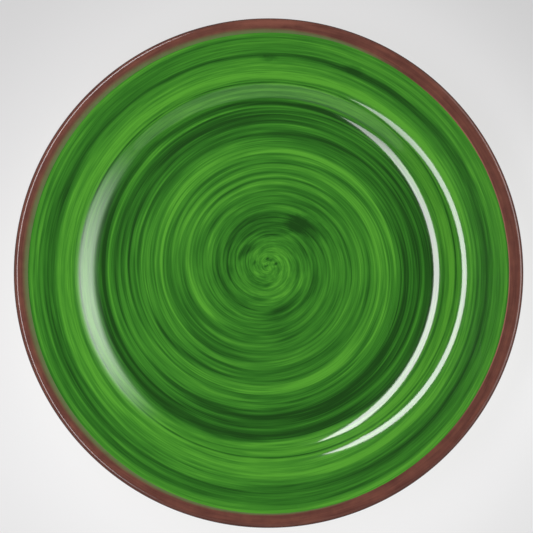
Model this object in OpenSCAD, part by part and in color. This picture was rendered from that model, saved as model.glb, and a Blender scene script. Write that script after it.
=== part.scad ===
// Dinner plate with a flat well, a coved wall, a sloping rim and a turned foot ring.
// Origin: centre of the plane that the foot ring stands on. +Z is the plate's axis.
// The clay body is one solid. Each fired coat on it is a thin solid that meets it face to face,
// because every outline below is the same line taken at two depths under the finished surface.

/* [Plate] */
// Diameter over the lip
plate_d = 270; // [240:1:330]
// Thickness of the finished wall, coats included
wall_t = 4.6; // [3.4:0.1:6]
// Slope of the rim above level, in degrees
rim_slope = 11; // [6:0.5:18]

/* [Well] */
// Diameter of the flat floor
well_d = 165; // [130:1:200]
// Radius of the hollow curve that leads from the floor up into the wall
cove_r = 22.6; // [15:0.1:28]
// Steepest slope of the wall above level, in degrees
wall_slope = 32; // [24:0.5:40]
// Length of the straight stretch of the wall
wall_run = 5.8; // [1:0.1:8]
// Radius of the round shoulder between the wall and the rim
shoulder_r = 19.6; // [12:0.1:28]

/* [Foot ring] */
// Height of the foot ring, which is the depth of the recess inside it
foot_h = 3.4; // [2:0.1:5]
// Width of the flat, ground edge that the plate stands on
foot_w = 3; // [2:0.1:6]
// How far in from the edge of the well floor the foot's outer side leaves the back
foot_inset = 1; // [0:0.1:8]
// Lean of the foot's two sides from upright, in degrees
foot_lean = 22; // [5:1:35]
// Height of the bare clay on the foot, below the glaze line
bare_h = 1.2; // [0.6:0.1:1.8]

/* [Coats] */
// Thickness of every fired coat
coat_t = 0.4; // [0.2:0.02:0.6]
// Width of the brown band on the rim, seen from above
band_w = 7.5; // [4:0.1:14]
// Width of the brown band on the back, seen from below
band_under = 3.5; // [3:0.1:12]

/* [Hidden] */
$fn = 128;
arc_steps = 12;

floor_z = foot_h + wall_t;
well_r = well_d / 2;
band_inner = plate_d / 2 - band_w;
band_back = plate_d / 2 - band_under;

// The lip is a half circle across the whole wall
lip_r = wall_t / 2;
lip_x = plate_d / 2 - lip_r;

// The foot's ground edge
foot_spread = foot_h * tan(foot_lean);
foot_outer = well_r - foot_inset - foot_spread;
foot_inner = foot_outer - foot_w;

// Direction along a slope, and the direction out of the face above it
function along(slope) = [cos(slope), sin(slope)];
function out_of(slope) = [-sin(slope), cos(slope)];

// The cove's centre lies above the face, and those of the shoulder and the lip lie under it
cove_c = [well_r, floor_z + cove_r];
wall_top = cove_c - cove_r * out_of(wall_slope) + wall_run * along(wall_slope);
shoulder_c = wall_top - shoulder_r * out_of(wall_slope);
rim_start = shoulder_c + shoulder_r * out_of(rim_slope);

// Point of the rim at radius x, at depth d under the face
function rim_point(x, d) =
    [x, rim_start.y + (x - rim_start.x) * tan(rim_slope) - d / cos(rim_slope)];

lip_c = rim_point(lip_x, lip_r);

function reversed(list) = [for (i = [len(list) - 1 : -1 : 0]) list[i]];

// Slopes met on the way along an arc
function slopes(from, to, steps) = [for (i = [0 : steps]) from + (to - from) * i / steps];

// The wall from the edge of the floor to the start of the rim, at depth d under the face
function wall_line(d) = concat(
    [for (a = slopes(0, wall_slope, arc_steps)) cove_c - (cove_r + d) * out_of(a)],
    [for (a = slopes(wall_slope, rim_slope, arc_steps)) shoulder_c + (shoulder_r - d) * out_of(a)]
);

// The finished surface sunk by depth d, in four stretches that follow each other:
// the face, the lip, the back with the foot's outer side, and the base inside the foot
function face_line(d) = concat([[0, floor_z - d]], wall_line(d), [rim_point(band_inner, d)]);

function lip_line(d) =
    [for (a = slopes(rim_slope, rim_slope - 180, 2 * arc_steps)) lip_c + (lip_r - d) * out_of(a)];

function back_line(d) = concat(
    [rim_point(band_back, wall_t - d)],
    reversed(wall_line(wall_t - d)),
    [for (z = [foot_h + d, bare_h]) [foot_outer + z * tan(foot_lean) - d, z]]
);

function base_line(d) = concat(
    [for (z = [bare_h, foot_h + d]) [foot_inner - z * tan(foot_lean) + d, z]],
    [[0, foot_h + d]]
);

// The bare end of the foot, at full width because no coat covers it
foot_end = [
    [foot_outer + bare_h * tan(foot_lean), bare_h],
    [foot_outer, 0],
    [foot_inner, 0],
    [foot_inner - bare_h * tan(foot_lean), bare_h]
];

// Turns an outline round the plate's axis
module turned(outline) {
    rotate_extrude() polygon(outline);
}

// Turns the strip between a surface line and the same line under the coat
module coat(surface, under) {
    turned(concat(surface, reversed(under)));
}

// Biscuit-fired clay with its turned foot ring
module clay_body() {
    color("tan") turned(concat(
        face_line(coat_t),
        lip_line(coat_t),
        back_line(coat_t),
        foot_end,
        base_line(coat_t)
    ));
}

// Green glaze over the well, the wall and the rim
module green_face_glaze() {
    color("forestgreen") coat(face_line(0), face_line(coat_t));
}

// Brown band that wraps the lip, from the end of the green glaze round to the back
module brown_rim_band() {
    color("saddlebrown") coat(
        concat([rim_point(band_inner, 0)], lip_line(0), [rim_point(band_back, wall_t)]),
        concat([rim_point(band_inner, coat_t)], lip_line(coat_t), [rim_point(band_back, wall_t - coat_t)])
    );
}

// Ivory glaze on the back, from the brown band down to the glaze line on the foot
module back_glaze() {
    color("ivory") coat(back_line(0), back_line(coat_t));
}

// Ivory glaze on the base inside the foot ring
module base_glaze() {
    color("ivory") coat(base_line(0), base_line(coat_t));
}

clay_body();
green_face_glaze();
brown_rim_band();
back_glaze();
base_glaze();
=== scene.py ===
# %% [markdown]
# # A dinner plate with a painted green face and a brown rim band
#
# A plate like this is one disc of fired clay with a thin glass coat on every side but its foot.
# It is made on a wheel, so every piece of this model is turned too: an outline is drawn once, as
# a potter's template, and spun round the plate's axis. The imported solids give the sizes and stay
# in place under the finer pieces made here. Lengths are written in millimetres and become metres
# as a mesh is made.

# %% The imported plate
import math

import bpy
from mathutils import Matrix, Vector


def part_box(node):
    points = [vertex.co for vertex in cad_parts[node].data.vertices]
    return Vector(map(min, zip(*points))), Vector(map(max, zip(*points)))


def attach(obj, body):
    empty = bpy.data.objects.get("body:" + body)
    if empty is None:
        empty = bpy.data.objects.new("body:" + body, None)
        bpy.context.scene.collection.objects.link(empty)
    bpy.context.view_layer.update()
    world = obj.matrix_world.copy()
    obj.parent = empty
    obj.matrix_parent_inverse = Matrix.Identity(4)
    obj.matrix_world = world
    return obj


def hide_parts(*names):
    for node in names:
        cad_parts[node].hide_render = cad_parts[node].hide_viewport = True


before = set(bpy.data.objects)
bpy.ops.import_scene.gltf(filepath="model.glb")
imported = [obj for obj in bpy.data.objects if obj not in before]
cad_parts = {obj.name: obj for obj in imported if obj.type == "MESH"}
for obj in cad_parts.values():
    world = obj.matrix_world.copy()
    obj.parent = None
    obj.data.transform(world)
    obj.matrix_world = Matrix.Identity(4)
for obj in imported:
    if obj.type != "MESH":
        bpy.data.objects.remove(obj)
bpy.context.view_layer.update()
MM = 0.001
print("nodes:", sorted(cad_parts))

# %% [markdown]
# ## Sizes
#
# Heights and edges are read from the solids, so the fine surface lies where theirs does. The
# curves between them are set by a few radii and slopes: a hollow cove from the floor up into the
# wall, a round shoulder over to the rim, and a lip that is half a circle across the wall.

# %% Sizes of the plate, in millimetres
def node_box(node):
    """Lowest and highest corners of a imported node, in millimetres."""
    low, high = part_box(node)
    return [c / MM for c in low], [c / MM for c in high]


coat_t = 0.4
plate_r = node_box("brown_rim_band")[1][0]
band_inner = node_box("green_face_glaze")[1][0]
band_back = node_box("back_glaze")[1][0]
glaze_line = node_box("back_glaze")[0][2]
floor_z = node_box("green_face_glaze")[0][2] + coat_t
foot_h = node_box("base_glaze")[1][2] - coat_t
wall_t = floor_z - foot_h
lip_r = wall_t / 2

well_r = 82.5
cove_r = 22.6
wall_slope = 32
wall_run = 5.8
shoulder_r = 19.6
rim_slope = 11

foot_w = 3
foot_lean = math.tan(math.radians(22))
foot_inner = node_box("base_glaze")[1][0] - coat_t + glaze_line * foot_lean
foot_outer = foot_inner + foot_w
print(f"plate {2 * plate_r:.1f} across, floor at {floor_z:.2f}, wall {wall_t:.2f} thick")


# %% [markdown]
# ## The template
#
# A turned surface is told by the slope it has at each radius. `out_of` points straight out of a
# surface of a given slope, so a curve of radius r round a centre is a run of slopes, and a coat's
# underside is the same run taken a little deeper. That keeps every coat an even skin.

# %% Curves of the plate's cross-section
def out_of(slope):
    """Direction out of the face where it rises at this slope, as (radius, height)."""
    angle = math.radians(slope)
    return Vector((-math.sin(angle), math.cos(angle)))


def along(slope):
    """Direction along the face, away from the axis, where it rises at this slope."""
    angle = math.radians(slope)
    return Vector((math.cos(angle), math.sin(angle)))


def spread(start, end, steps):
    """Even values from start to end, both included."""
    return [start + (end - start) * i / steps for i in range(steps + 1)]


cove_c = Vector((well_r, floor_z + cove_r))
wall_top = cove_c - cove_r * out_of(wall_slope) + wall_run * along(wall_slope)
shoulder_c = wall_top - shoulder_r * out_of(wall_slope)
rim_start = shoulder_c + shoulder_r * out_of(rim_slope)


def rim_point(radius, depth=0.0):
    """Point of the straight rim at a radius, at a depth under the face."""
    rise = (radius - rim_start.x) * math.tan(math.radians(rim_slope))
    return Vector((radius, rim_start.y + rise - depth / math.cos(math.radians(rim_slope))))


lip_c = rim_point(plate_r - lip_r, lip_r)
print(f"lip top at {lip_c.y + lip_r:.3f}, packed lip at {node_box('brown_rim_band')[1][2]:.3f}")


def ripple(radius, height, pitch, inner, outer):
    """Throwing rings: a shallow wave that dies away at both ends of its stretch."""
    share = (radius - inner) / (outer - inner)
    if not 0 < share < 1:
        return 0.0
    return height * math.sin(math.pi * share) * math.sin(2 * math.pi * radius / pitch)


def wall_curve(depth, steps):
    """Cove, wall and shoulder, from the floor's edge to the start of the rim."""
    cove = [cove_c - (cove_r + depth) * out_of(s) for s in spread(0, wall_slope, steps)]
    shoulder = [shoulder_c + (shoulder_r - depth) * out_of(s)
                for s in spread(wall_slope, rim_slope, steps)]
    return cove + [(cove[-1] + shoulder[0]) / 2] + shoulder


def lip_curve(depth, steps):
    """Half circle from the face over the lip to the back."""
    return [lip_c + (lip_r - depth) * out_of(s)
            for s in spread(rim_slope, rim_slope - 180, steps)]


# %% [markdown]
# ## Turning
#
# A vertex is extruded from point to point along the outline, and the outline is spun once round
# the plate's axis. The first and last copies meet, so their doubles are merged, which also closes
# the poles, and the normals are then recalculated because a spin may leave a shape inside out.

# %% Turning an outline into a piece
SIDES = 288
SHARP_EDGE = math.radians(40)
TOUCHING = 0.002 * MM
ON_CORNER = 0.02 * MM


def turn(name, outline):
    """Makes a closed piece from an outline of (radius, height) points in millimetres."""
    bpy.ops.object.select_all(action="DESELECT")
    bpy.ops.mesh.primitive_plane_add(size=MM)
    piece = bpy.context.object
    piece.name = piece.data.name = name
    bpy.ops.object.mode_set(mode="EDIT")
    bpy.ops.mesh.select_mode(type="VERT")
    bpy.ops.mesh.select_all(action="SELECT")
    bpy.ops.mesh.merge(type="CENTER")
    start = Vector((outline[0][0] * MM, 0, outline[0][1] * MM))
    bpy.ops.transform.translate(value=start)
    for here, there in zip(outline, outline[1:] + outline[:1]):
        step = ((there[0] - here[0]) * MM, 0, (there[1] - here[1]) * MM)
        bpy.ops.mesh.extrude_region_move(TRANSFORM_OT_translate={"value": step})
    bpy.ops.mesh.select_all(action="SELECT")
    bpy.ops.mesh.spin(steps=SIDES, angle=2 * math.pi, center=(0, 0, 0), axis=(0, 0, 1))
    bpy.ops.mesh.select_all(action="SELECT")
    bpy.ops.mesh.remove_doubles(threshold=TOUCHING)
    bpy.ops.mesh.normals_make_consistent(inside=False)
    bpy.ops.object.mode_set(mode="OBJECT")
    bpy.ops.object.shade_smooth_by_angle(angle=SHARP_EDGE)
    print(f"{name}: {len(outline)} points turned into {len(piece.data.polygons)} faces")
    return piece


def soften(piece, corners, width, segments):
    """Bevels the round edges that pass through the given (radius, height) corners."""
    bpy.ops.object.select_all(action="DESELECT")
    piece.select_set(True)
    bpy.context.view_layer.objects.active = piece
    bpy.ops.object.mode_set(mode="EDIT")
    bpy.ops.mesh.select_mode(type="EDGE")
    bpy.ops.mesh.select_all(action="DESELECT")
    bpy.ops.object.mode_set(mode="OBJECT")
    on_corner = set()
    for v in piece.data.vertices:
        radius = math.hypot(v.co.x, v.co.y)
        for corner in corners:
            if math.hypot(radius - corner[0] * MM, v.co.z - corner[1] * MM) < ON_CORNER:
                on_corner.add(v.index)
    for edge in piece.data.edges:
        edge.select = edge.vertices[0] in on_corner and edge.vertices[1] in on_corner
    bpy.ops.object.mode_set(mode="EDIT")
    bpy.ops.mesh.bevel(offset=width * MM, segments=segments, profile=0.5)
    bpy.ops.object.mode_set(mode="OBJECT")
    bpy.ops.object.shade_smooth_by_angle(angle=SHARP_EDGE)
    print(f"{piece.name}: {len(on_corner)} corner vertices softened")


# %% [markdown]
# ## The clay body
#
# Only the foot's ground edge shows, but the body is turned whole, as it was on the wheel, and lies
# one coat deep under every glazed surface. The foot keeps its full width below the glaze line.

# %% Clay body
base_flat_r = foot_inner - 6
ground_round = 0.35


def foot_side(radius, lean, z):
    """Point on one side of the foot ring, which leans as it rises."""
    return Vector((radius + lean * z * foot_lean, z))


def back_curve(depth, steps):
    """The back, from the start of the rim down to the flat above the foot."""
    return wall_curve(wall_t - depth, steps)[::-1]


clay_outline = (
    [Vector((r, floor_z - coat_t)) for r in spread(0, well_r, 12)[:-1]]
    + wall_curve(coat_t, 10)
    + lip_curve(coat_t, 14)
    + back_curve(coat_t, 10)
    + [foot_side(foot_outer - coat_t, 1, foot_h + coat_t)]
    + [foot_side(foot_outer - coat_t, 1, glaze_line)]
    + [foot_side(foot_outer, 1, glaze_line)]
    + [Vector((r, 0)) for r in spread(foot_outer, foot_inner, 6)]
    + [foot_side(foot_inner, -1, glaze_line)]
    + [foot_side(foot_inner + coat_t, -1, glaze_line)]
    + [foot_side(foot_inner + coat_t, -1, foot_h + coat_t)]
    + [Vector((r, foot_h + coat_t)) for r in spread(base_flat_r, 0, 10)]
)
clay_body = turn("turned_clay_body", clay_outline)
soften(clay_body, [(foot_outer, 0), (foot_inner, 0)], ground_round, 3)

# %% [markdown]
# ## The green face glaze
#
# The glaze is a skin over the floor, the wall and the rim. Its outer end runs a little way under
# the brown band, which was laid over it. Shallow throwing rings cross the floor: too low to see
# from above, but a low light finds them.

# %% Green face glaze
ring_height = 0.02
ring_pitch = 7.5
rings_end = well_r - 4
green_end = band_inner + 0.9


def face_floor(depth, steps, ring_height):
    """The flat of the well, at a depth, with throwing rings of a given height."""
    points = []
    for r in spread(0, well_r, steps)[:-1]:
        ring = ripple(r, ring_height, ring_pitch, 0, rings_end)
        points.append(Vector((r, floor_z - depth + ring)))
    return points


green_surface = (
    face_floor(0, 56, ring_height)
    + wall_curve(0, 22)
    + [rim_point(r) for r in spread(rim_start.x, green_end, 20)[1:]]
)
green_under = (
    face_floor(coat_t, 8, 0)
    + wall_curve(coat_t, 6)
    + [rim_point(r, coat_t) for r in spread(rim_start.x, green_end, 3)[1:]]
)
green_glaze = turn("green_face_coat", green_surface + green_under[::-1])

# %% [markdown]
# ## The brown rim band
#
# The band is a second coat, brushed on as the plate turned. Its edges are feathered: each starts
# just under the glaze beside it and rises over two millimetres to stand a hair proud, so the
# border lies where the two skins cross. It wraps the lip and ends a little way down the back.

# %% Brown rim band
band_proud = 0.03
edge_sunk = 0.02
edge_w = 2.4


def feather(share):
    """Depth of the band's edge under the green: sunk at first, then easing up to stand proud."""
    return edge_sunk - (edge_sunk + band_proud) * (1 - math.cos(math.pi * share)) / 2


edge_start = band_inner - 1.15
back_start = band_back - 0.5
back_edge_w = 1.2
face_edge = [rim_point(edge_start + edge_w * s, feather(s)) for s in spread(0, 1, 12)]
back_edge = [rim_point(back_start + back_edge_w * s, wall_t - feather(s)) for s in spread(1, 0, 8)]
lip_start = lip_curve(-band_proud, 28)
lip_in = [rim_point(r, -band_proud) for r in spread(face_edge[-1].x, lip_start[0].x, 8)[1:-1]]
band_outline = (
    face_edge + lip_in + lip_start + back_edge
    + [rim_point(back_edge[-1].x, wall_t - coat_t)]
    + lip_curve(coat_t, 12)[::-1]
    + [rim_point(edge_start, coat_t)]
)
brown_band = turn("brown_lip_band", band_outline)

# %% [markdown]
# ## The glaze on the back and the base
#
# Both coats end on the foot in a rounded glaze line, where the glaze was wiped off before firing.
# The corners between the foot and the plate are softened, as glaze fills a corner. Trimming rings
# from the turning tool show through both.

# %% Back glaze
outer_root = foot_side(foot_outer, 1, foot_h)
back_end = band_back + 0.8
line_rise = glaze_line + 0.25
mid_foot = foot_h * 0.6
root_fill = 0.8
line_round = 0.18


def back_rings(points, height, pitch):
    """Presses trimming rings of a given height and pitch into the points of the back."""
    low, high = well_r + 3, band_back - 2
    return [p - Vector((0, ripple(p.x, height, pitch, low, high))) for p in points]


rim_back = [rim_point(r, wall_t) for r in spread(back_end, rim_start.x, 40)[:-1]]
back_surface = (
    back_rings(rim_back + wall_curve(wall_t, 24)[::-1], 0.035, 4.2)
    + [outer_root]
    + [foot_side(foot_outer, 1, z) for z in (mid_foot, line_rise, glaze_line)]
)
back_under = (
    [rim_point(back_end, wall_t - coat_t)]
    + back_curve(coat_t, 8)
    + [foot_side(foot_outer - coat_t, 1, z) for z in (foot_h + coat_t, glaze_line)]
)
back_glaze = turn("ivory_back_coat", back_surface + back_under[::-1])
soften(back_glaze, [outer_root], root_fill, 5)
soften(back_glaze, [foot_side(foot_outer, 1, glaze_line)], line_round, 3)

# %% Base glaze
inner_root = foot_side(foot_inner, -1, foot_h)


def base_point(radius):
    """Point of the base inside the foot ring, with trimming rings that reach the centre."""
    return Vector((radius, foot_h - ripple(radius, 0.05, 5.2, -8, inner_root.x - 1)))


base_surface = (
    [foot_side(foot_inner, -1, z) for z in (glaze_line, line_rise, mid_foot)]
    + [inner_root]
    + [base_point(r) for r in spread(inner_root.x - 1.6, 0, 70)]
)
base_under = (
    [foot_side(foot_inner + coat_t, -1, z) for z in (glaze_line, foot_h + coat_t)]
    + [Vector((r, foot_h + coat_t)) for r in spread(base_flat_r, 0, 8)]
)
base_glaze = turn("ivory_base_coat", base_surface + base_under[::-1])
soften(base_glaze, [inner_root], root_fill, 5)
soften(base_glaze, [foot_side(foot_inner, -1, glaze_line)], line_round, 3)

# %% [markdown]
# ## Short hands for shaders
#
# Glaze is made from nodes, so a few helpers keep the cells short: one turns a colour swatch into
# Blender's linear values, one adds a node and joins its inputs, and one starts a node group with
# named sockets. Groups hold the effects that several finishes share.

# %% Shader helpers
def paint(red, green, blue):
    """A swatch colour, in 0 to 255 steps, as linear values."""
    steps = [c / 255 for c in (red, green, blue)]
    linear = [s / 12.92 if s <= 0.04 else ((s + 0.055) / 1.055) ** 2.4 for s in steps]
    return (*linear, 1)


def add(tree, kind, inputs, **settings):
    """Adds a node, then sets or joins each named input."""
    node = tree.nodes.new(kind)
    for name, value in settings.items():
        setattr(node, name, value)
    for socket, value in inputs.items():
        if isinstance(value, bpy.types.NodeSocket):
            tree.links.new(value, node.inputs[socket])
        else:
            node.inputs[socket].default_value = value
    return node


def calc(tree, operation, *values):
    """One step of arithmetic on numbers or sockets."""
    return add(tree, "ShaderNodeMath", dict(enumerate(values)), operation=operation).outputs[0]


def vector_calc(tree, operation, *values, out="Vector", **more):
    """One step of arithmetic on vectors."""
    inputs = {**dict(enumerate(values)), **more}
    return add(tree, "ShaderNodeVectorMath", inputs, operation=operation).outputs[out]


def eased(tree, value, start, end, low=0.0, high=1.0):
    """Runs smoothly from low to high as the value goes from start to end."""
    inputs = {"Value": value, "From Min": start, "From Max": end, "To Min": low, "To Max": high}
    return add(tree, "ShaderNodeMapRange", inputs, interpolation_type="SMOOTHSTEP").outputs["Result"]


def noise(tree, vector, scale, detail=2.0, roughness=0.5):
    """Cloudy noise, from 0 to 1, read at a place."""
    inputs = {"Vector": vector, "Scale": scale, "Detail": detail, "Roughness": roughness}
    return add(tree, "ShaderNodeTexNoise", inputs).outputs["Fac"]


def laid_over(tree, share, under, over):
    """One colour laid over another by a share."""
    return add(tree, "ShaderNodeMix", {0: share, 6: under, 7: over}, data_type="RGBA").outputs[2]


def stops(tree, value, colours, ease="EASE"):
    """A colour ramp: the colours are (place, colour) pairs."""
    node = add(tree, "ShaderNodeValToRGB", {"Fac": value})
    ramp = node.color_ramp
    ramp.interpolation = ease
    for i, (place, colour) in enumerate(colours):
        stop = ramp.elements[i] if i < 2 else ramp.elements.new(place)
        stop.position = place
        stop.color = colour if isinstance(colour, tuple) else (colour, colour, colour, 1)
    return node.outputs["Color"]


def start_group(name, inputs, outputs):
    """A node group with named sockets; gives the group, its inputs and its outputs."""
    group = bpy.data.node_groups.new(name, "ShaderNodeTree")
    for label, kind, value in inputs:
        socket = group.interface.new_socket(label, in_out="INPUT", socket_type="NodeSocket" + kind)
        socket.default_value = value
    for label, kind in outputs:
        group.interface.new_socket(label, in_out="OUTPUT", socket_type="NodeSocket" + kind)
    return group, group.nodes.new("NodeGroupInput").outputs, group.nodes.new("NodeGroupOutput").inputs


def grouped(tree, group, inputs):
    """Adds a node that holds a group, with its named inputs set or joined."""
    return add(tree, "ShaderNodeGroup", inputs, node_tree=group)


# %% [markdown]
# ## Place on the wheel
#
# Everything on a turned pot follows the wheel, so its patterns are laid out by radius and turn.
# The group reads a position and gives its radius in millimetres, its turn from -0.5 to 0.5, and
# its direction round the axis. A brush seldom starts right on the axis, so the centre can be
# shifted, less and less towards a given reach.

# %% Group: place on the wheel
wheel_group, wheel_in, wheel_out = start_group(
    "PlaceOnWheel",
    [("Position", "Vector", (0, 0, 0)), ("Centre Shift", "Vector", (0, 0, 0)), ("Reach", "Float", 130)],
    [("Radius", "Float"), ("Turn", "Float"), ("Direction", "Vector")],
)
flat = vector_calc(wheel_group, "MULTIPLY", wheel_in["Position"], (1 / MM, 1 / MM, 0))
from_axis = vector_calc(wheel_group, "LENGTH", flat, out="Value")
shift_share = eased(wheel_group, from_axis, 0, wheel_in["Reach"], 1, 0)
shift = vector_calc(wheel_group, "SCALE", wheel_in["Centre Shift"], Scale=shift_share)
centred = vector_calc(wheel_group, "SUBTRACT", flat, shift)
split = add(wheel_group, "ShaderNodeSeparateXYZ", {"Vector": centred}).outputs
angle = calc(wheel_group, "ARCTAN2", split["Y"], split["X"])
wheel_group.links.new(vector_calc(wheel_group, "LENGTH", centred, out="Value"), wheel_out["Radius"])
wheel_group.links.new(calc(wheel_group, "DIVIDE", angle, 2 * math.pi), wheel_out["Turn"])
wheel_group.links.new(vector_calc(wheel_group, "NORMALIZE", centred), wheel_out["Direction"])


def wheel_at(tree, position, shift=(0, 0), reach=130):
    """Radius, turn and direction of a position, from a centre shifted by millimetres."""
    return grouped(tree, wheel_group, {"Position": position, "Centre Shift": (*shift, 0),
                                       "Reach": reach}).outputs


print("group:", wheel_group.name)

# %% [markdown]
# ## Streaks left by a brush
#
# The glaze was put on with a loaded brush while the plate turned, so it lies in long streaks that
# spiral towards the centre. The streaks are noise read along the spiral: across it the noise runs
# fast, round the plate slowly. A spiral doesn't meet itself after one turn, so two copies, cut at
# opposite sides, are swapped before either cut would show.

# %% Group: brushed streaks
streak_group, streak_in, streak_out = start_group(
    "BrushedStreaks",
    [("Radius", "Float", 0), ("Turn", "Float", 0), ("Direction", "Vector", (0, 0, 0)),
     ("Drift", "Float", 20), ("Width", "Float", 2), ("Breaks", "Float", 3), ("Seed", "Float", 0)],
    [("Streak", "Float")],
)
tree = streak_group
cut_one = calc(tree, "MULTIPLY_ADD", streak_in["Drift"], streak_in["Turn"], streak_in["Radius"])
past_cut = calc(tree, "LESS_THAN", streak_in["Turn"], 0)
cut_two = calc(tree, "MULTIPLY_ADD", streak_in["Drift"], past_cut, cut_one)
round_it = vector_calc(tree, "SCALE", streak_in["Direction"], Scale=streak_in["Breaks"])
round_parts = add(tree, "ShaderNodeSeparateXYZ", {"Vector": round_it}).outputs
seeded = calc(tree, "ADD", round_parts["Y"], streak_in["Seed"])
copies = []
for cut in (cut_one, cut_two):
    across = calc(tree, "DIVIDE", cut, streak_in["Width"])
    spot = add(tree, "ShaderNodeCombineXYZ", {"X": across, "Y": round_parts["X"], "Z": seeded})
    copies.append(noise(tree, spot.outputs[0], 1, 1.5, 0.55))
ragged = noise(tree, add(tree, "ShaderNodeCombineXYZ", {"X": cut_one, "Y": seeded}).outputs[0], 0.4, 2)
swap_at = calc(tree, "MULTIPLY_ADD", ragged, 0.2, calc(tree, "ABSOLUTE", streak_in["Turn"]))
swap = eased(tree, swap_at, 0.31, 0.39)
mixed = add(tree, "ShaderNodeMix", {0: swap, 2: copies[0], 3: copies[1]}).outputs[0]
tree.links.new(calc(tree, "MULTIPLY_ADD", mixed, 2, -1), streak_out["Streak"])


def streaks_at(tree, wheel, drift, width, breaks, seed):
    """Streaks from -1 to 1, round the place on the wheel that a wheel group gives."""
    return grouped(tree, streak_group, {"Radius": wheel["Radius"], "Turn": wheel["Turn"],
                                        "Direction": wheel["Direction"], "Drift": drift,
                                        "Width": width, "Breaks": breaks, "Seed": seed}).outputs[0]


print("group:", streak_group.name)

# %% [markdown]
# ## Spots and specks
#
# Colour gathers in spots: a cloud where the brush was set down, dots where bubbles broke, dark
# specks of iron in the ivory glaze. One group makes a soft oval of any size at any place, and
# another scatters specks all over by cutting noise high up.

# %% Groups: soft oval and specks
oval_group, oval_in, oval_out = start_group(
    "SoftOval",
    [("Position", "Vector", (0, 0, 0)), ("Centre", "Vector", (0, 0, 0)), ("Size", "Vector", (1, 1, 1)),
     ("Lean", "Vector", (0, 0, 0)), ("Ragged", "Float", 1)],
    [("Mask", "Float")],
)
tree = oval_group
in_mm = vector_calc(tree, "MULTIPLY", oval_in["Position"], (1 / MM, 1 / MM, 0))
wander = add(tree, "ShaderNodeTexNoise", {"Vector": in_mm, "Scale": 0.35, "Detail": 3.0})
wander = vector_calc(tree, "SUBTRACT", wander.outputs["Color"], (0.5, 0.5, 0.5))
moved = vector_calc(tree, "ADD", in_mm, vector_calc(tree, "SCALE", wander, Scale=oval_in["Ragged"]))
laid = add(tree, "ShaderNodeMapping",
           {"Vector": moved, "Location": oval_in["Centre"], "Rotation": oval_in["Lean"],
            "Scale": oval_in["Size"]}, vector_type="TEXTURE").outputs[0]
laid = vector_calc(tree, "MULTIPLY", laid, (1, 1, 0))
tree.links.new(eased(tree, vector_calc(tree, "LENGTH", laid, out="Value"), 1, 0.15), oval_out["Mask"])

speck_group, speck_in, speck_out = start_group(
    "Specks",
    [("Position", "Vector", (0, 0, 0)), ("Per Metre", "Float", 600), ("Size", "Float", 0.2),
     ("Kept", "Float", 0.2)],
    [("Mask", "Float")],
)
tree = speck_group
cells = add(tree, "ShaderNodeTexVoronoi",
            {"Vector": speck_in["Position"], "Scale": speck_in["Per Metre"]})
chosen = add(tree, "ShaderNodeSeparateColor", {"Color": cells.outputs["Color"]}).outputs
kept = calc(tree, "LESS_THAN", chosen["Red"], speck_in["Kept"])
speck_size = calc(tree, "MULTIPLY", speck_in["Size"], calc(tree, "ADD", chosen["Green"], 0.4))
inside = calc(tree, "DIVIDE", cells.outputs["Distance"], speck_size)
tree.links.new(calc(tree, "MULTIPLY", kept, eased(tree, inside, 1, 0.5)), speck_out["Mask"])


def oval_at(tree, position, centre, size, lean, ragged):
    """Mask of one soft oval; its centre and size are (across, up) in millimetres."""
    return grouped(tree, oval_group, {"Position": position, "Centre": (*centre, 0), "Size": (*size, 1),
                                      "Lean": (0, 0, lean), "Ragged": ragged}).outputs[0]


def specks_at(tree, position, per_metre, size, kept_share):
    """Mask of specks, of which only a share is kept."""
    return grouped(tree, speck_group, {"Position": position, "Per Metre": per_metre, "Size": size,
                                       "Kept": kept_share}).outputs[0]


print("groups:", oval_group.name, speck_group.name)

# %% [markdown]
# ## The skin of a fired glaze
#
# Melted glaze is glass, so it mirrors sharply, but never like a flat pane: it rolls in long, very
# low waves, and a few bubbles leave pinholes. Use adds hair-thin scratches that only dull it.
# This group gives the height of the skin, in micrometres, and the mask of the scratches.

# %% Group: glaze skin
skin_group, skin_in, skin_out = start_group(
    "GlazeSkin",
    [("Position", "Vector", (0, 0, 0)), ("Roll", "Float", 1), ("Pinholes", "Float", 1),
     ("Scratches", "Float", 1)],
    [("Height", "Float"), ("Dulled", "Float")],
)
tree = skin_group
roll = calc(tree, "MULTIPLY", noise(tree, skin_in["Position"], 110, 1, 0.4), skin_in["Roll"])
holes = specks_at(tree, skin_in["Position"], 170, 0.07, 0.25)
holes = calc(tree, "MULTIPLY", holes, skin_in["Pinholes"])
tree.links.new(calc(tree, "SUBTRACT", roll, holes), skin_out["Height"])
scratches = None
across_per_m, along_per_m = 2600, 26
for turned, seed in ((0.5, 0.0), (1.3, 3.0), (2.4, 7.0)):
    lined = add(tree, "ShaderNodeMapping",
                {"Vector": skin_in["Position"], "Location": (seed, seed, 0), "Rotation": (0, 0, turned),
                 "Scale": (across_per_m, along_per_m, along_per_m)})
    fine = eased(tree, noise(tree, lined.outputs[0], 1, 0), 0.79, 0.86)
    scratches = fine if scratches is None else calc(tree, "MAXIMUM", scratches, fine)
worn = eased(tree, noise(tree, skin_in["Position"], 22, 3), 0.45, 0.7)
dulled = calc(tree, "MULTIPLY", calc(tree, "MULTIPLY", scratches, worn), skin_in["Scratches"])
tree.links.new(dulled, skin_out["Dulled"])
print("group:", skin_group.name)

# %% [markdown]
# ## Green face glaze: where it lies thick and thin
#
# A copper-green glaze is dark where it pools and pale where it runs thin. It gathered in the hollow
# at the foot of the wall and in a ring on the rim, and it ran off the round shoulder. So one value,
# how thin the glaze lies, carries the whole pattern: a ring by ring trend, a thinner side to each
# ring, streaks in seven widths, the pooled spots, and a fine dark line where a brush ring ended on
# the shoulder. The brush wandered, so the rings are a little off the axis and waver.

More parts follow.
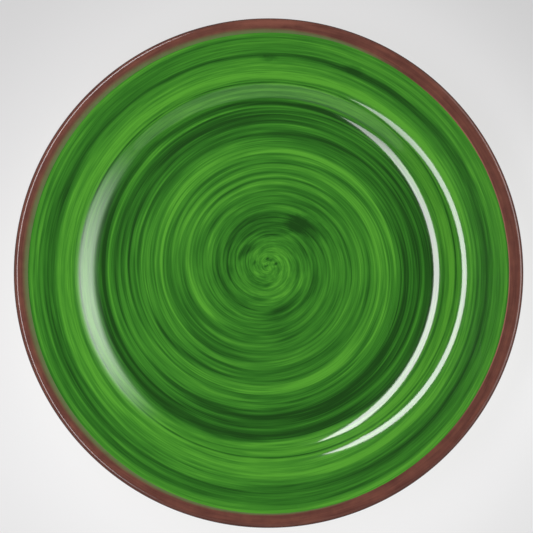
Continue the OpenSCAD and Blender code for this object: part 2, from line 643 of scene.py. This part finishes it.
# %% Green glaze: thinness
def start_material(name):
    """A new finish; gives it, its nodes, its main shader and the place on the piece."""
    material = bpy.data.materials.new(name)
    material.use_nodes = True
    tree = material.node_tree
    surface = tree.nodes["Principled BSDF"]
    position = tree.nodes.new("ShaderNodeTexCoord").outputs["Object"]
    return material, tree, surface, position


def by_share(rings):
    """Turns (radius in millimetres, value) pairs into (share of the plate's radius, value)."""
    return [(r / plate_r, value) for r, value in rings]


green, tree, green_surface_node, position = start_material("green_face_glaze")
brushed = wheel_at(tree, position, (0, 4.3), 115)
wander = noise(tree, position, 30, 2)
off_centre = vector_calc(tree, "DOT_PRODUCT", brushed["Direction"], (-0.7, 0.7, 0), out="Value")
read_at = calc(tree, "SUBTRACT", calc(tree, "SUBTRACT", brushed["Radius"], 1.5), off_centre)
read_at = calc(tree, "MULTIPLY_ADD", wander, 3.0, read_at)
ring_share = calc(tree, "DIVIDE", read_at, plate_r)
rings_of_glaze = [
    (0, 0.87), (3, 0.71), (12, 0.66), (20, 0.48), (28, 0.46), (33, 0.58), (42, 0.63), (52, 0.63),
    (65, 0.70), (71, 0.46), (76, 0.42), (81, 0.29), (86, 0.37), (89, 0.2), (92, 0.6), (96, 0.80),
    (101, 0.75), (109, 0.87), (113, 0.63), (116, 0.29), (121, 0.55), (128, 0.72),
]
trend = stops(tree, ring_share, by_share(rings_of_glaze))

# The coat isn't even round the plate: each ring has a thinner side, up or down the plate and to the
# left or right of it. Half means even, and each pair is a radius in millimetres and a lean.
thinner_up = [
    (10, 0.5), (20, 0.3), (30, 0.62), (63, 0.65), (69, 0.5), (85, 0.7), (92, 0.42), (110, 0.5),
    (124, 0.65),
]
thinner_right = [
    (20, 0.55), (32, 0.4), (55, 0.5), (63, 0.65), (69, 0.45), (75, 0.55), (86, 0.42), (95, 0.42),
    (101, 0.6), (108, 0.6), (114, 0.38), (124, 0.56),
]
across_plate = add(tree, "ShaderNodeSeparateXYZ", {"Vector": brushed["Direction"]}).outputs
for side, thinner in ((across_plate["Y"], thinner_up), (across_plate["X"], thinner_right)):
    lean = stops(tree, ring_share, by_share(thinner))
    trend = calc(tree, "MULTIPLY_ADD", calc(tree, "SUBTRACT", lean, 0.5), side, trend)

# The drift is how far a streak moves outwards in one turn. Each mark of the brush is a width in
# millimetres, how often it breaks, its strength, its seed, and whether only its fine lines show.
brushed_share = calc(tree, "DIVIDE", brushed["Radius"], plate_r)
most_drift = 30
drift = stops(tree, brushed_share, [(0, 0.0), (0.045, 0.38), (0.1, 0.45), (0.25, 0.78), (0.5, 0.70),
                                    (0.62, 0.46), (0.76, 0.1), (1, 0.08)])
drift = calc(tree, "MULTIPLY", drift, most_drift)
brush_marks = [
    (8, 0.5, 0.32, 0, False),
    (5, 2.5, 0.13, 71, False),
    (3.6, 0.5, 0.42, 11, False),
    (3.0, 0.45, 0.58, 31, True),
    (1.6, 0.8, 0.42, 23, False),
    (0.75, 1.6, 0.32, 41, False),
    (0.35, 4.0, 0.22, 57, False),
]

# Out on the rim the brush ran drier, so the finest marks break more often there.
broken_up = eased(tree, brushed["Radius"], 85, 100, 1.0, 2.5)
streaks = None
for width, breaks, strength, seed, fine_line in brush_marks:
    if width < 1:
        breaks = calc(tree, "MULTIPLY", broken_up, breaks)
    one = streaks_at(tree, brushed, drift, width, breaks, seed)
    if fine_line:
        one = calc(tree, "SUBTRACT", 0.1, calc(tree, "ABSOLUTE", one))
    share = calc(tree, "MULTIPLY", one, strength)
    streaks = share if streaks is None else calc(tree, "ADD", streaks, share)
contrast = stops(tree, brushed_share,
                 [(0, 0.75), (0.4, 0.75), (0.5, 1.0), (0.66, 1.0), (0.72, 0.72), (1, 0.72)])
thin = calc(tree, "MULTIPLY_ADD", streaks, calc(tree, "MULTIPLY", contrast, 1.3), trend)

# %% [markdown]
# The spots are listed one by one: one cloud where the brush came down, a few short dabs that follow
# the turn, and dots round the centre. Each is its centre and size in millimetres, its lean, how
# ragged it is, and its strength. It takes that share off the thinness, so it comes out as deeper
# green. On the right, at the foot of the wall, the green is painted paler: a painted highlight under
# the sharp crescent that the left softbox draws there.

# %% Green glaze: pooled spots and the fine line
pooled = [
    ((15, 26), (9, 6.5), -0.3, 3.0, 0.36),
    ((21, 25), (17, 8), -0.5, 5.0, 0.34),
    ((3.6, 21), (12, 3), 0.15, 2.0, 0.28),
    ((-11.7, 12.2), (9, 3), 0.8, 1.6, 0.44),
    ((-21, 0.6), (2.4, 9), 0.1, 1.6, 0.26),
    ((3.6, 4.8), (1.8, 1.2), 0.4, 0.5, 0.60),
    ((-1.1, 3.8), (1.6, 0.9), 0.2, 0.5, 0.50),
    ((-0.6, 7.5), (1.5, 1.1), 0.9, 0.5, 0.50),
    ((-7.5, 5.4), (2.2, 1.3), 1.1, 0.6, 0.40),
    ((45, 108), (9, 3.2), -0.4, 3.0, 0.25),
    ((0, 114), (7, 2.5), 0.0, 3.0, 0.25),
]
for centre, size, lean, ragged, strength in pooled:
    mask = oval_at(tree, position, centre, size, lean, ragged)
    thin = calc(tree, "MULTIPLY_ADD", mask, -strength, thin)

line_r = 99.7
lined = wheel_at(tree, position, (-0.5, 1.8), 600)
off_line = calc(tree, "ABSOLUTE", calc(tree, "SUBTRACT", lined["Radius"], line_r))
line = eased(tree, off_line, 0.75, 0.1)
line_strength = eased(tree, noise(tree, position, 60, 3), 0.3, 0.6, 0.55, 1.0)
line = calc(tree, "MULTIPLY", line, line_strength)
thin = calc(tree, "MULTIPLY_ADD", line, -0.5, thin)

# Painted highlight: on the right, at the foot of the wall, the green is lightened under the sharp
# crescent that the left softbox draws there.
wall_foot_r = 90
off_wall_foot = calc(tree, "ABSOLUTE", calc(tree, "SUBTRACT", brushed["Radius"], wall_foot_r))
right_side = eased(tree, across_plate["X"], 0.6, 0.95)
painted_highlight_at_wall_foot = calc(tree, "MULTIPLY", eased(tree, off_wall_foot, 3.2, 1.5), right_side)
thin = calc(tree, "MULTIPLY_ADD", painted_highlight_at_wall_foot, 0.28, thin)

greens = [(0.0, paint(34, 78, 27)), (0.22, paint(43, 100, 32)), (0.44, paint(54, 122, 38)),
          (0.67, paint(69, 144, 45)), (1.0, paint(95, 176, 55))]
colour = stops(tree, thin, greens, "LINEAR")
tree.links.new(colour, green_surface_node.inputs["Base Color"])

# %% [markdown]
# A glaze has two mirrors: its clear glass top, sharp and even, and the coloured body under it,
# a little rougher. The Principled shader's coat is the first and its own highlight the second. The
# top is a touch leaner over the round of the shoulder, and the brush left low ridges in it.

# %% Green glaze: gloss and skin
MICROMETRE = 0.001 * MM


def glass_over(tree, surface, position, roll, pinholes, scratches, extra_height=None, bare_share=0.0):
    """Gives a finish its glass top, its low waves, and its dulled scratches."""
    skin = grouped(tree, skin_group, {"Position": position, "Roll": roll, "Pinholes": pinholes,
                                      "Scratches": scratches}).outputs
    height = skin["Height"]
    if extra_height is not None:
        height = calc(tree, "ADD", height, extra_height)
    bump = add(tree, "ShaderNodeBump", {"Height": height, "Distance": MICROMETRE, "Strength": 1.0})
    for socket in ("Normal", "Coat Normal"):
        tree.links.new(bump.outputs[0], surface.inputs[socket])
    rough = calc(tree, "MULTIPLY_ADD", noise(tree, position, 180, 2), 0.08, 0.08)
    rough = calc(tree, "MULTIPLY_ADD", skin["Dulled"], 0.25, rough)
    tree.links.new(rough, surface.inputs["Roughness"])
    coat = calc(tree, "SUBTRACT", calc(tree, "MULTIPLY_ADD", skin["Dulled"], -0.12, 1.0), bare_share)
    tree.links.new(coat, surface.inputs["Coat Weight"])
    surface.inputs["Coat Roughness"].default_value = 0.03
    surface.inputs["Coat IOR"].default_value = 1.6
    surface.inputs["IOR"].default_value = 1.5


ridge = calc(tree, "MULTIPLY", streaks, 1.5)
shoulder_top_r = 104
off_shoulder = calc(tree, "ABSOLUTE", calc(tree, "SUBTRACT", brushed["Radius"], shoulder_top_r))
lean_glass = eased(tree, off_shoulder, 3, 6, 0.07, 0)
glass_over(tree, green_surface_node, position, 3, 4, 0.6, ridge, lean_glass)
print("green glaze:", len(tree.nodes), "nodes")

# %% [markdown]
# ## Brown band glaze
#
# An iron glaze fires brick brown. At the sharp turn of the lip the band is painted nearly black:
# painted shade, where the lip's outer side turns down away from the lamps. On one side the brush
# crossed the wet green, and the two mixed into an olive edge; on the other side the edge stayed
# crisp, with a rosy line that is partly the brown thinning out and partly a painted highlight of the
# left softbox on the band's inner edge.

# %% Brown band
brown, tree, surface, position = start_material("brown_band_glaze")
on_band = wheel_at(tree, position)
cloud = noise(tree, position, 140, 3, 0.6)
mottle = calc(tree, "MULTIPLY_ADD", cloud, 0.9, 0.05)
for width, breaks, seed, strength in ((2.2, 5, 5, 0.5), (0.7, 9, 17, 0.35)):
    brush = streaks_at(tree, on_band, 2.5, width, breaks, seed)
    mottle = calc(tree, "MULTIPLY_ADD", brush, strength, mottle)
browns = [(0.1, paint(98, 60, 52)), (0.5, paint(113, 71, 61)), (0.9, paint(130, 82, 68))]
band_colour = stops(tree, mottle, browns, "LINEAR")

from_edge = calc(tree, "SUBTRACT", on_band["Radius"], band_inner + 0.25)
from_edge = calc(tree, "MULTIPLY_ADD", noise(tree, on_band["Direction"], 9, 2), 0.5, from_edge)
wet_side = vector_calc(tree, "DOT_PRODUCT", on_band["Direction"], (-0.93, 0.37, 0), out="Value")
mixed_w = eased(tree, wet_side, -0.8, 0.95, 0.7, 3.7)
crossed_side = vector_calc(tree, "DOT_PRODUCT", on_band["Direction"], (-0.996, 0.087, 0), out="Value")
crossed = eased(tree, crossed_side, -0.6, -0.15)
dry_side = vector_calc(tree, "DOT_PRODUCT", on_band["Direction"], (1, 0.1, 0), out="Value")
olive = eased(tree, calc(tree, "DIVIDE", from_edge, mixed_w), 1.0, 0.15)
olive = calc(tree, "MULTIPLY", olive, crossed)
olive = calc(tree, "MULTIPLY", olive, eased(tree, cloud, 0.2, 0.6, 0.75, 1.0))
# The rosy line on the dry side is partly the brown thinning out and partly a painted highlight of the
# left softbox on the band's inner edge.
rosy = calc(tree, "MULTIPLY", eased(tree, from_edge, 0.6, 0.25), eased(tree, dry_side, 0.6, 0.95))
band_colour = laid_over(tree, rosy, band_colour, paint(160, 108, 92))
band_colour = laid_over(tree, olive, band_colour, paint(105, 122, 77))
# A lighter patch of brown on the band at the top of the plate.
lighter_top_patch = calc(tree, "MULTIPLY", oval_at(tree, position, (0, 133), (34, 3.5), 0, 2), 0.8)
band_colour = laid_over(tree, lighter_top_patch, band_colour, paint(140, 88, 74))
# Painted shade: the band is darkened to nearly black over the outer turn of the lip, all round.
painted_shade_lip = eased(tree, on_band["Radius"], plate_r - 0.8, plate_r - 0.1, 0, 0.85)
band_colour = laid_over(tree, painted_shade_lip, band_colour, paint(56, 28, 24))
tree.links.new(band_colour, surface.inputs["Base Color"])
surface.inputs["Specular IOR Level"].default_value = 0.1
worn_lip = eased(tree, on_band["Radius"], plate_r - 1.2, plate_r - 0.7, 0, 0.95)
glass_over(tree, surface, position, 4, 4, 0.8, calc(tree, "MULTIPLY", mottle, 4), worn_lip)
print("brown band:", len(tree.nodes), "nodes")

# %% [markdown]
# ## Ivory glaze and bare clay
#
# The back is dipped in a cream-white glaze. It is thin enough that the trimming rings tint it, it
# holds a few iron specks, and it gathers a warmer tone by the foot. The foot's ground edge is bare:
# a matt buff clay with fine turning grooves, grains of grit, and grey marks from shelf and table.

# %% Ivory glaze
ivory, tree, surface, position = start_material("ivory_back_glaze")
on_back = wheel_at(tree, position)
rings = streaks_at(tree, on_back, 3.0, 2.6, 1.5, 60)
tone = calc(tree, "MULTIPLY_ADD", noise(tree, position, 26, 3), 0.6, calc(tree, "MULTIPLY", rings, 0.3))
creams = [(0.0, paint(214, 202, 176)), (0.3, paint(226, 217, 195)), (0.7, paint(236, 229, 212))]
cream = stops(tree, tone, creams, "LINEAR")
foot_r = (foot_inner + foot_outer) / 2
off_foot = calc(tree, "ABSOLUTE", calc(tree, "SUBTRACT", on_back["Radius"], foot_r))
cream = laid_over(tree, eased(tree, off_foot, 5.5, 2.2, 0, 0.55), cream, paint(196, 170, 128))
iron_specks = calc(tree, "MULTIPLY", specks_at(tree, position, 140, 0.07, 0.35), 0.75)
cream = laid_over(tree, iron_specks, cream, paint(96, 66, 44))
tree.links.new(cream, surface.inputs["Base Color"])
glass_over(tree, surface, position, 5, 6, 0.5, calc(tree, "MULTIPLY", rings, 3))
print("ivory glaze:", len(tree.nodes), "nodes")

# %% Bare clay
bare, tree, surface, position = start_material("bare_foot_clay")
grooves = streaks_at(tree, wheel_at(tree, position), 0.8, 0.35, 3, 80)
grit = specks_at(tree, position, 900, 0.3, 0.4)
clay = noise(tree, position, 60, 4, 0.6)
buffs = [(0.3, paint(178, 148, 112)), (0.5, paint(196, 168, 132)), (0.7, paint(210, 186, 152))]
clay_colour = stops(tree, clay, buffs, "LINEAR")
clay_colour = laid_over(tree, calc(tree, "MULTIPLY", grit, 0.5), clay_colour, paint(120, 88, 62))
axes = add(tree, "ShaderNodeSeparateXYZ", {"Vector": position}).outputs
on_edge = eased(tree, calc(tree, "DIVIDE", axes["Z"], MM), 0.35, 0.05)
scuffed = calc(tree, "MULTIPLY", on_edge, eased(tree, noise(tree, position, 90, 3), 0.45, 0.65))
clay_colour = laid_over(tree, calc(tree, "MULTIPLY", scuffed, 0.6), clay_colour, paint(112, 104, 96))
tree.links.new(clay_colour, surface.inputs["Base Color"])
tree.links.new(calc(tree, "MULTIPLY_ADD", scuffed, -0.2, 0.85), surface.inputs["Roughness"])
rough_height = calc(tree, "MULTIPLY_ADD", grit, -0.6, calc(tree, "MULTIPLY", grooves, 1.2))
bump = add(tree, "ShaderNodeBump",
           {"Height": rough_height, "Distance": 30 * MICROMETRE, "Strength": 1.0})
tree.links.new(bump.outputs[0], surface.inputs["Normal"])
print("bare clay:", len(tree.nodes), "nodes")

# %% [markdown]
# ## Putting the plate together
#
# Each piece takes its finish, hides the imported node it stands in for, and rides on the plate's one
# body.

# %% Pieces, finishes and nodes
for piece, finish, node, slot in (
    (clay_body, bare, "clay_body", "biscuit_clay"),
    (green_glaze, green, "green_face_glaze", "green_glaze"),
    (brown_band, brown, "brown_rim_band", "brown_band"),
    (back_glaze, ivory, "back_glaze", "ivory_glaze"),
    (base_glaze, ivory, "base_glaze", "ivory_glaze"),
):
    piece.data.materials.clear()
    piece.data.materials.append(finish)
    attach(piece, "root")
    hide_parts(node)
    low, high = piece.bound_box[0], piece.bound_box[6]
    print(f"{piece.name}: z {low[2] / MM:.2f} to {high[2] / MM:.2f}, {finish.name}")

# %% [markdown]
# ## Table, lamps and camera
#
# The plate lies on a pale table whose glow is painted light: brighter at the front, darker towards
# the corners, with a painted shadow under the plate and painted light beside it on the right, where
# its shadow falls. Two soft lamps light it: a long softbox on the left, which draws the sharp
# crescents on the right of the wall, and a panel on the right that fades out upwards, which draws
# the soft patch on the left. A weak card stands in front. All else is dark, so the glaze stays deep
# in colour.

# %% Pale table
bpy.ops.object.select_all(action="DESELECT")
table_w = 60
bpy.ops.mesh.primitive_plane_add(size=table_w)
table = bpy.context.object
table.name = "pale_table"
table_paint, tree, surface, position = start_material("pale_table")
surface.inputs["Base Color"].default_value = (0.15, 0.15, 0.15, 1)
surface.inputs["Roughness"].default_value = 1.0
surface.inputs["Specular IOR Level"].default_value = 0.0
surface.inputs["Emission Color"].default_value = (1, 1, 1, 1)
axes = add(tree, "ShaderNodeSeparateXYZ", {"Vector": position}).outputs
from_middle = vector_calc(tree, "LENGTH", position, out="Value")
from_right = vector_calc(tree, "DISTANCE", position, (0.15, -0.01, 0), out="Value")
# The table's glow is painted light: brighter at the front and a little on the left, painted shade
# towards the corners, a painted shadow under the plate, and painted light beside it on the right, where
# the plate's shadow falls.
front_to_back = eased(tree, axes["Y"], -0.14, 0.17, 0.72, 0.555)
left_to_right = eased(tree, axes["X"], -0.16, 0.16, 0.01, -0.01)
painted_shade_towards_corners = eased(tree, from_middle, 0.13, 0.205, 0.055, -0.055)
painted_shadow_under_plate = eased(tree, from_middle, 0.085, 0.133, 0.3, 1.0)
painted_light_beside_plate = eased(tree, from_right, 0.04, 0.1, 0.035, 0)
glow = calc(tree, "ADD", calc(tree, "ADD", front_to_back, left_to_right), painted_shade_towards_corners)
glow = calc(tree, "MULTIPLY_ADD", glow, painted_shadow_under_plate, painted_light_beside_plate)
surface.inputs["Emission Strength"].default_value = 1.0
tree.links.new(glow, surface.inputs["Emission Color"])
table.data.materials.append(table_paint)


# %% Lamps
def soft_lamp(name, middle, width, height, facing, brightness):
    """A rectangular lamp, in metres, of a given brightness, facing along a direction."""
    lamp = bpy.data.lights.new(name, "AREA")
    lamp.shape = "RECTANGLE"
    lamp.size, lamp.size_y = width, height
    lamp.energy = brightness * math.pi * width * height
    holder = bpy.data.objects.new(name, lamp)
    bpy.context.scene.collection.objects.link(holder)
    holder.location = middle
    holder.rotation_euler = Vector(facing).to_track_quat("-Z", "Y").to_euler()
    holder.visible_camera = False
    print(f"{name}: {lamp.energy:.1f} W")
    return lamp


strip = soft_lamp("left_softbox", (-0.585, 0.25, 1.0), 0.38, 2.2, (0, 0, -1), 7.3)
strip.color = (1.0, 0.965, 1.0)
panel = soft_lamp("right_panel", (0.6, 0.12, 0.615), 2.0, 0.83, (-1, 0, 0), 3.85)
soft_lamp("front_card", (0, -0.3, 0.21), 1.0, 0.15, (0, 1, 0), 0.3)


def lamp_place(lamp):
    """Starts the lamp's own nodes; gives the tree and the place across and up its face, 0 to 1."""
    lamp.use_nodes = True
    tree = lamp.node_tree
    face = tree.nodes.new("ShaderNodeNewGeometry").outputs["Parametric"]
    return tree, add(tree, "ShaderNodeSeparateXYZ", {"Vector": face}).outputs


tree, place = lamp_place(strip)
glow = eased(tree, place["Y"], -0.1, 0.5, 0.45, 1.0)
tree.links.new(glow, tree.nodes["Emission"].inputs["Strength"])

tree, place = lamp_place(panel)
low_glow = eased(tree, place["Y"], 0.19, 0.57, 0.8, 0)
high_glow = eased(tree, place["Y"], 0.19, 1.0, 0.2, 0)
side = calc(tree, "ABSOLUTE", calc(tree, "SUBTRACT", place["X"], 0.5))
near_glow = eased(tree, side, 0.0, 0.36, 0.85, 0)
side_glow = calc(tree, "ADD", near_glow, eased(tree, side, 0.0, 0.5, 0.15, 0))
glow = calc(tree, "MULTIPLY", calc(tree, "ADD", low_glow, high_glow), side_glow)
tree.links.new(glow, tree.nodes["Emission"].inputs["Strength"])

# %% Dim room, paler near the horizon
world = bpy.data.worlds.new("dim_room")
bpy.context.scene.world = world
world.use_nodes = True
tree = world.node_tree
looking = tree.nodes.new("ShaderNodeTexCoord").outputs["Generated"]
up = add(tree, "ShaderNodeSeparateXYZ", {"Vector": looking}).outputs["Z"]
tree.links.new(eased(tree, up, 0.05, 0.3, 0.3, 0.01), tree.nodes["Background"].inputs["Color"])

# %% [markdown]
# The camera looks straight down from far away, so that the rim isn't seen wider than the well. Its
# lens follows from the width it should take in at the height of the rim.

# %% Camera
camera_data = bpy.data.cameras.new("overhead_camera")
camera = bpy.data.objects.new("overhead_camera", camera_data)
bpy.context.scene.collection.objects.link(camera)
bpy.context.scene.camera = camera
rim_height = lip_c.y * MM
distance = 8.0
taken_in = 0.2824
camera.location = (-0.0011, 0.0035, rim_height + distance)
camera_data.lens = camera_data.sensor_width * distance / taken_in
camera_data.clip_end = 50
bpy.context.scene.view_settings.view_transform = "Standard"
print(f"lens {camera_data.lens:.0f} mm")
